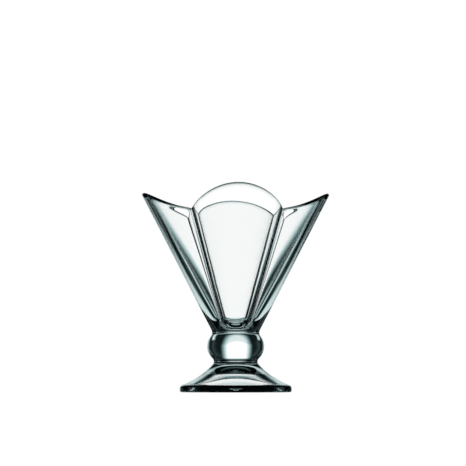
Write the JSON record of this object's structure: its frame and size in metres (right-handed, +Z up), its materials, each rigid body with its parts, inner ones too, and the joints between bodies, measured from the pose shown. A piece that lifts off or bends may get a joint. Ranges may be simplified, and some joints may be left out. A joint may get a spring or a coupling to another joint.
{
  "type": "parfait glass",
  "caption": "Clear pressed-glass parfait or sundae glass: a fluted petal bowl with a scalloped rim, on a round knop and a flared foot, for serving layered desserts.",
  "frame": {"origin": "centre of the foot's resting ring, on the table", "axes": "+Z up the glass's axis; +X and +Y through the middles of petals"},
  "size_m": [0.125, 0.125, 0.132],
  "materials": {
    "clear_glass": "polished"
  },
  "bodies": {
    "root": {"foot": "clear_glass", "knop": "clear_glass", "bowl": "clear_glass"}
  },
  "joints": []
}
